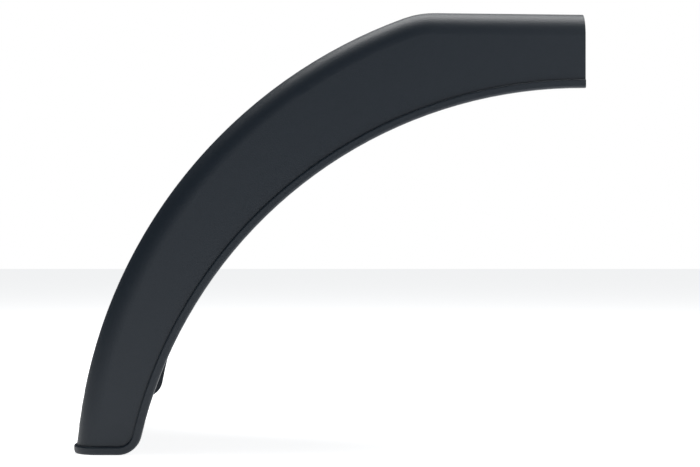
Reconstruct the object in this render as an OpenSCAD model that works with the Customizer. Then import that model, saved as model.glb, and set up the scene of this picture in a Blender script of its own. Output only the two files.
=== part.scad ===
// Mudguard for a trailer wheel, moulded in one piece of black plastic: a deep outer
// skirt, a round shoulder, a tread over the wheel and a shallow inner flange that bolts
// to the trailer's side. A raised rim stiffens the skirt's free edge and the lower end,
// and the top end is cut plain where the next length of guard carries on.
//
// X runs along the trailer, Z is up and the outer skirt faces -Y. The origin is the
// middle of the upper pair of bolt holes, on the face that bolts to the trailer.

/* [Overall] */
// Width from the trailer's side to the face of the outer skirt
guard_w = 220; // [150:1:280]
// Height of the guard above its lower end
guard_h = 334.4; // [326:0.2:342]
// Thickness of the moulded wall
wall = 3.5; // [2.5:0.1:4.5]

/* [Tread] */
// Outer radius of the tread where it follows the wheel
tread_r = 379.4; // [372:0.2:388]
// Distance of the centre of that curve from the plain end
tread_centre_in = 7; // [0:0.5:12]
// Outer radius of the bend between the curve and the flat top
bend_r = 68; // [60:1:90]
// Fall of the flat top towards the plain end, in degrees
top_fall = 0.65; // [0:0.05:1.5]
// Outer radius of the shoulder between tread and outer skirt
shoulder_r = 18; // [12:0.5:24]
// Outer radius of the corner between tread and inner flange
flange_corner_r = 6; // [5:0.5:9]

/* [Outer skirt] */
// Radius of the wheel arch in the skirt
arch_r = 340.2; // [332:0.2:345]
// Distance of the centre of the wheel arch from the plain end
arch_centre_in = 3; // [0:0.5:8]
// Depth of the centre of the wheel arch below the lower end
arch_centre_drop = 64.2; // [58:0.2:70]
// Outer radius of the skirt's lower corner
skirt_corner_r = 17.5; // [14:0.5:24]

/* [Rim] */
// Width of the raised rim
rim_w = 6.5; // [5:0.1:9]
// Height of the rim above the skirt and the tread
rim_h = 2; // [1.8:0.1:4]
// Rounding of the rim's outer edges
rim_round = 1.6; // [0.5:0.1:1.7]
// Rounding of the lower end's corner under the tread
toe_r = 5; // [1:0.5:5]

/* [Inner flange] */
// Depth of the flange below the tread's outer face
flange_depth = 37; // [32:0.5:44]
// Height of the flange's foot above the lower end
flange_foot = 21; // [12:1:40]
// Radius of the flange's lower corner
flange_foot_r = 16; // [8:0.5:18]

/* [Bolt holes] */
// Diameter of the bolt holes
bolt_d = 8.5; // [6.5:0.1:10.5]
// Distance of the bolt holes below the tread's outer face
bolt_inset = 22; // [18:0.5:24]
// Distance of the nearer upper hole from the plain end
top_bolt_in = 22; // [15:1:30]
// Distance between the two upper holes
top_bolt_pitch = 60; // [40:1:70]
// Place of the lowest hole round the tread's curve, in degrees above the horizontal
low_bolt_angle = 16; // [13:1:24]
// Place of the middle hole round the tread's curve, in degrees above the horizontal
mid_bolt_angle = 42; // [32:1:56]

/* [Hidden] */

$fa = 2;
$fs = 0.8;

// Overlap of pieces that are joined into one wall
lap = 2;
// How far a cut reaches past the face that it cuts
past = 5;
// A length that reaches right across the guard
reach = 2 * tread_r;
// How far a sweep is carried past its end, in degrees
sweep_past = 2;

// The side view has the plain end at x = 0 and the lower end at y = 0. The bend is as
// high as the guard and touches the tread's curve from inside. It turns through an angle
// whose sine and cosine are short whole decimals, so its ends fit their neighbours.
bend_turn = atan2(0.352, 0.936);
bend_gap = (tread_r - bend_r) * [-sin(bend_turn - top_fall), cos(bend_turn - top_fall)];
bend_c = [bend_gap[0] - tread_centre_in, guard_h - bend_r];
tread_c = bend_c - bend_gap;
top_length = -bend_c[0] / cos(top_fall);

// Near any angle there is another whose sine and cosine are whole millionths, or as good
// as whole. It is used where the rim turns from the wheel arch into the skirt's corner.
function whole_angle(angle, step = 0) =
    let (
        cosine = round(1e6 * cos(angle)) + step,
        sine = round(sqrt(1e12 - pow(cosine, 2))),
        miss = abs(1e12 - pow(cosine, 2) - pow(sine, 2))
    )
    miss < 1e4 ? atan2(sine, cosine) : whole_angle(angle, step + 1);

// The skirt's lower corner stands on the lower end and touches the wheel arch
skirt_corner_gap = arch_r + skirt_corner_r;
skirt_corner_lean = whole_angle(asin((arch_centre_drop + skirt_corner_r) / skirt_corner_gap));
arch_step = skirt_corner_gap * [cos(skirt_corner_lean), -sin(skirt_corner_lean)];
skirt_corner_c = [-arch_centre_in - arch_step[0], skirt_corner_r];
arch_c = skirt_corner_c + arch_step;

// The flange's foot touches the flange's inner edge
foot_gap = tread_r - flange_depth + flange_foot_r;
foot_rise = flange_foot + flange_foot_r - tread_c[1];
foot_corner_c = tread_c + [-sqrt(pow(foot_gap, 2) - pow(foot_rise, 2)), foot_rise];

// The rim's lower run ends where the shoulder begins
function tread_face_x(level) =
    tread_c[0] - sqrt(pow(tread_r, 2) - pow(level - tread_c[1], 2));
lower_run = skirt_corner_c[0] - tread_face_x(rim_w / 2) - shoulder_r;

// Middle of the upper pair of holes
top_bolt_x = -top_bolt_in - top_bolt_pitch / 2;
top_face_y = bend_c[1] + bend_r / cos(top_fall) - (top_bolt_x - bend_c[0]) * tan(top_fall);
top_bolt_c = [top_bolt_x, top_face_y - bolt_inset];

// Sweeps a section about the z axis, from the y axis round to the left. The sweep
// starts at its far end and is cut true on the y axis, so both ends fit their
// neighbours.
module bend(turn) {
    difference() {
        rotate(turn) mirror([1, 0, 0])
            rotate_extrude(angle = turn + sweep_past, start = 90) children();
        translate([0, -reach, -reach]) cube(2 * reach);
    }
}

// Sweeps a section along the x axis, with its width upwards
module run(length) {
    rotate([90, 0, 90]) linear_extrude(length) children();
}

// A quarter of a ring of the wall's thickness
module quarter_ring(radius) {
    intersection() {
        difference() {
            circle(radius);
            circle(radius - wall);
        }
        square(radius);
    }
}

// Section through flange, tread and shoulder. Its x is the distance from the centre of
// the curve, and its y the distance from the trailer's side.
module tread_section(radius) {
    flange_end = radius - flange_depth;
    flange_bend = radius - flange_corner_r;
    skirt_bend = radius - shoulder_r;
    translate([flange_end, 0]) square([flange_bend - flange_end, wall]);
    translate([flange_bend, flange_corner_r]) mirror([0, 1]) quarter_ring(flange_corner_r);
    translate([radius - wall, flange_corner_r])
        square([wall, guard_w - flange_corner_r - shoulder_r]);
    translate([skirt_bend, guard_w - shoulder_r]) quarter_ring(shoulder_r);
    translate([skirt_bend - lap, guard_w - wall]) square([lap, wall]);
}

// The tread with its shoulder and flange, swept along the flat top, the bend and the
// long curve, and cut level at the lower end
module tread() {
    difference() {
        translate(bend_c) rotate(-top_fall) {
            run(top_length + past) tread_section(bend_r);
            bend(bend_turn) tread_section(bend_r);
            rotate(bend_turn) translate([0, bend_r - tread_r])
                rotate_extrude(angle = 90 - bend_turn, start = 90) tread_section(tread_r);
        }
        translate([-reach, -reach, -past]) cube([2 * reach, reach, guard_w + 2 * past]);
        flange_foot_waste();
    }
}

// What is cut away below the flange's rounded foot
module flange_foot_waste() {
    inner_edge = foot_corner_c + flange_foot_r / foot_gap * (tread_c - foot_corner_c);
    translate([0, 0, -past]) linear_extrude(wall + 2 * past)
        difference() {
            intersection() {
                translate(tread_c) circle(tread_r - flange_corner_r - lap);
                polygon([
                    [-reach, -past],
                    [tread_c[0], -past],
                    [tread_c[0], inner_edge[1]],
                    inner_edge,
                    foot_corner_c,
                    [foot_corner_c[0], flange_foot],
                    [-reach, flange_foot]
                ]);
            }
            translate(foot_corner_c) circle(flange_foot_r);
        }
}

// Outline of the skirt under the shoulder, in the side view: under the long curve, under
// the bend and under the flat top. The parts overlap and end at different depths in the
// shoulder, so none of their corners lies on a corner of the tread.
module under_shoulder() {
    intersection() {
        translate(tread_c) circle(tread_r - shoulder_r - lap / 4);
        translate(bend_c) rotate(bend_turn - top_fall) translate([-reach, -reach])
            square([reach + lap, 2 * reach]);
    }
    translate(bend_c) circle(bend_r - shoulder_r - lap / 2);
    translate(bend_c) rotate(-top_fall) translate([-lap, -reach])
        square([reach, reach + bend_r - shoulder_r - lap / 4]);
}

// The flat skirt. Its edges end inside the rim and the shoulder.
module skirt() {
    translate([0, 0, guard_w - wall]) linear_extrude(wall)
        difference() {
            intersection() {
                under_shoulder();
                translate([-reach, lap / 2]) square([reach + past, reach]);
            }
            translate(arch_c) circle(arch_r + lap);
            difference() {
                translate([skirt_corner_c[0], -past])
                    square([2 * skirt_corner_r, skirt_corner_r + past]);
                translate(skirt_corner_c) circle(skirt_corner_r - 2 * lap);
            }
        }
}

// Section of the rim with both outer edges round. Its y is the height above the face,
// and its root reaches into the wall.
module rim_section(root) {
    translate([0, -root]) square([rim_w, root + rim_h - rim_round]);
    translate([rim_round, -root]) square([rim_w - 2 * rim_round, root + rim_h]);
    for (x = [rim_round, rim_w - rim_round])
        translate([x, rim_h - rim_round]) circle(rim_round);
}

// The rim, swept along the wheel arch, the skirt's lower corner, the lower end and
// then round the shoulder and across the tread
module rim() {
    rim_frame() {
        rotate(90 - skirt_corner_lean) translate([0, skirt_corner_gap]) mirror([1, 0, 0])
            rotate_extrude(angle = 90 - skirt_corner_lean + sweep_past, start = 270)
                translate([arch_r, 0]) rim_section(wall);
        bend(90 - skirt_corner_lean)
            translate([skirt_corner_r - rim_w, 0]) rim_section(wall);
        translate([0, skirt_corner_r - rim_w]) run(lower_run) rim_section(wall);
        shoulder_frame() {
            rotate([-90, 0, 0]) rotate_extrude(angle = 90, start = 270) tread_rim_section();
            mirror([0, 0, 1]) linear_extrude(guard_w - shoulder_r - flange_corner_r - lap)
                tread_rim_section();
        }
    }
}

// Places pieces about the centre of the skirt's lower corner, on the skirt's outer face,
// with x towards the tread and y down
module rim_frame() {
    translate([skirt_corner_c[0], skirt_corner_c[1], guard_w]) rotate(180) children();
}

// In the rim's frame, places pieces about the axis of the shoulder at the lower end,
// with y = 0 at the rim's upper edge
module shoulder_frame() {
    translate([lower_run, skirt_corner_r - rim_w, -shoulder_r]) children();
}

// What is cut away to round the lower end's corner under the tread
module toe_waste() {
    rim_frame() shoulder_frame() translate([shoulder_r + rim_h - toe_r, rim_w - toe_r, -guard_w])
        linear_extrude(guard_w + shoulder_r + past)
            difference() {
                square(toe_r + past);
                circle(toe_r);
            }
}

// The rim's section on the shoulder and the tread, at the shoulder's radius
module tread_rim_section() {
    translate([shoulder_r, 0]) mirror([1, -1]) rim_section(wall / 2);
}

// Holes through the flange: a level pair under the flat top, and two round the curve
module bolt_holes() {
    places = [
        for (side = [-1, 1]) top_bolt_c + side * [top_bolt_pitch / 2, 0],
        for (a = [low_bolt_angle, mid_bolt_angle])
            tread_c + (tread_r - bolt_inset) * [-cos(a), sin(a)]
    ];
    for (place = places)
        translate([place[0], place[1], -past]) cylinder(d = bolt_d, h = wall + 2 * past);
}

module mudguard() {
    color([0.07, 0.1, 0.13])
        translate([-top_bolt_c[0], 0, -top_bolt_c[1]]) rotate([90, 0, 0])
            difference() {
                union() {
                    tread();
                    skirt();
                    rim();
                }
                translate([0, -reach, -reach]) cube(2 * reach);
                toe_waste();
                bolt_holes();
            }
}

mudguard();
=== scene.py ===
# %% [markdown]
# # A trailer mudguard in black moulded plastic
#
# The real part is one piece of injection-moulded plastic: a deep outer skirt with a wheel
# arch, a round shoulder, a wide tread over the tyre and a shallow flange that bolts to the
# trailer. This lesson dresses the exact CAD model: it makes the surface and its fine grain,
# and then lights it as in a product photograph.

# %% Load the exact frame
import math

import bpy
from mathutils import Matrix, Vector


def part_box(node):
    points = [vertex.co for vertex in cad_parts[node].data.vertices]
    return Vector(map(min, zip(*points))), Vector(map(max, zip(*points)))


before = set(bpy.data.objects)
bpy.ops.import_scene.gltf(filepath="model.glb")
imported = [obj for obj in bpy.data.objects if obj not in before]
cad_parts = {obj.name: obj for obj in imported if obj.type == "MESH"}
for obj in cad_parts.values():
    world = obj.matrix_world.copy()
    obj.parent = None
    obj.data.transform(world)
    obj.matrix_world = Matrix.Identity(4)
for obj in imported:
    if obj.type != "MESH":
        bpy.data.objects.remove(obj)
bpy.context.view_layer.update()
low, high = (Vector(corner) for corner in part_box("mudguard"))
print("CAD box, mm:", [round(1000 * v, 1) for v in high - low])

# %% A few helpers for node trees
def add(tree, kind, **settings):
    """Adds a node and sets its properties."""
    node = tree.nodes.new(kind)
    for name, value in settings.items():
        setattr(node, name, value)
    return node


def feed(tree, node, **inputs):
    """Sets or links a node's inputs, named as in Blender with _ for a space."""
    for name, value in inputs.items():
        socket = node.inputs[name.replace("_", " ")]
        if isinstance(value, bpy.types.NodeSocket):
            tree.links.new(value, socket)
        else:
            socket.default_value = value
    return node


# %% Black moulded plastic
black = bpy.data.materials.new("black_moulded_plastic")
black.use_nodes = True
tree = black.node_tree
tree.nodes.clear()
out = add(tree, "ShaderNodeOutputMaterial")
plastic = add(tree, "ShaderNodeBsdfPrincipled")
tree.links.new(plastic.outputs["BSDF"], out.inputs["Surface"])
coords = add(tree, "ShaderNodeTexCoord")
grain = feed(tree, add(tree, "ShaderNodeTexNoise"), Vector=coords.outputs["Object"],
             Scale=900.0, Detail=2.0, Roughness=0.6)
bump = feed(tree, add(tree, "ShaderNodeBump"), Height=grain.outputs["Fac"], Strength=0.35,
            Distance=0.0004)
feed(tree, plastic, Base_Color=(0.006, 0.012, 0.02, 1), Roughness=0.5,
     Normal=bump.outputs["Normal"])

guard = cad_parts["mudguard"]
guard.data.materials.clear()
guard.data.materials.append(black)

# %% The pale floor and studio
floor_mesh = bpy.data.meshes.new("floor")
size = 6.0
floor_mesh.from_pydata([(-size, -size, 0), (size, -size, 0), (size, size, 0), (-size, size, 0)],
                       [], [(0, 1, 2, 3)])
floor_mesh.transform(Matrix.Translation((0, 0, low.z)))
floor = bpy.data.objects.new("floor", floor_mesh)
bpy.context.scene.collection.objects.link(floor)
pale = bpy.data.materials.new("pale_floor")
pale.use_nodes = True
feed(pale.node_tree, pale.node_tree.nodes["Principled BSDF"], Base_Color=(0.8, 0.8, 0.8, 1),
     Roughness=0.9, Emission_Color=(1, 1, 1, 1), Emission_Strength=0.85)
floor.data.materials.append(pale)

world = bpy.data.worlds.new("studio")
bpy.context.scene.world = world
world.use_nodes = True
tree = world.node_tree
tree.nodes.clear()
seen = feed(tree, add(tree, "ShaderNodeBackground"), Color=(1, 1, 1, 1), Strength=1.0)
dim = feed(tree, add(tree, "ShaderNodeBackground"), Color=(0.6, 0.8, 1, 1), Strength=0.05)
mix = add(tree, "ShaderNodeMixShader")
path = add(tree, "ShaderNodeLightPath")
tree.links.new(path.outputs["Is Camera Ray"], mix.inputs[0])
tree.links.new(dim.outputs[0], mix.inputs[1])
tree.links.new(seen.outputs[0], mix.inputs[2])
tree.links.new(mix.outputs[0], add(tree, "ShaderNodeOutputWorld").inputs["Surface"])

def lamp(name, place, target, width, height, power, colour=(1, 1, 1)):
    """A soft box at a place, turned to face a target."""
    light = bpy.data.lights.new(name, "AREA")
    light.shape = "RECTANGLE"
    light.size, light.size_y, light.energy, light.color = width, height, power, colour
    thing = bpy.data.objects.new(name, light)
    thing.matrix_world = Matrix.Translation(place) @ (
        Vector(target) - Vector(place)).to_track_quat("-Z", "Y").to_matrix().to_4x4()
    bpy.context.scene.collection.objects.link(thing)


middle = (low + high) / 2
lamp("top_box", middle + Vector((0.1, 0.3, 1.4)), middle, 1.6, 1.0, 30)
lamp("front_box", middle + Vector((1.2, -1.3, 0.9)), middle, 0.8, 0.8, 8)

# %% The camera
PIXELS_WIDE, LENS_PIXELS, NEAR = 700, 1573.3, 1.18
camera_data = bpy.data.cameras.new("camera")
camera_data.sensor_width = 36
camera_data.lens = LENS_PIXELS / PIXELS_WIDE * camera_data.sensor_width
camera = bpy.data.objects.new("camera", camera_data)
camera.matrix_world = (Matrix.Translation((high.x - 0.1771, low.y - NEAR, low.z + 0.16649))
                       @ Matrix.Rotation(math.pi / 2, 4, "X"))
bpy.context.scene.collection.objects.link(camera)
bpy.context.scene.camera = camera
bpy.context.scene.view_settings.view_transform = "Standard"
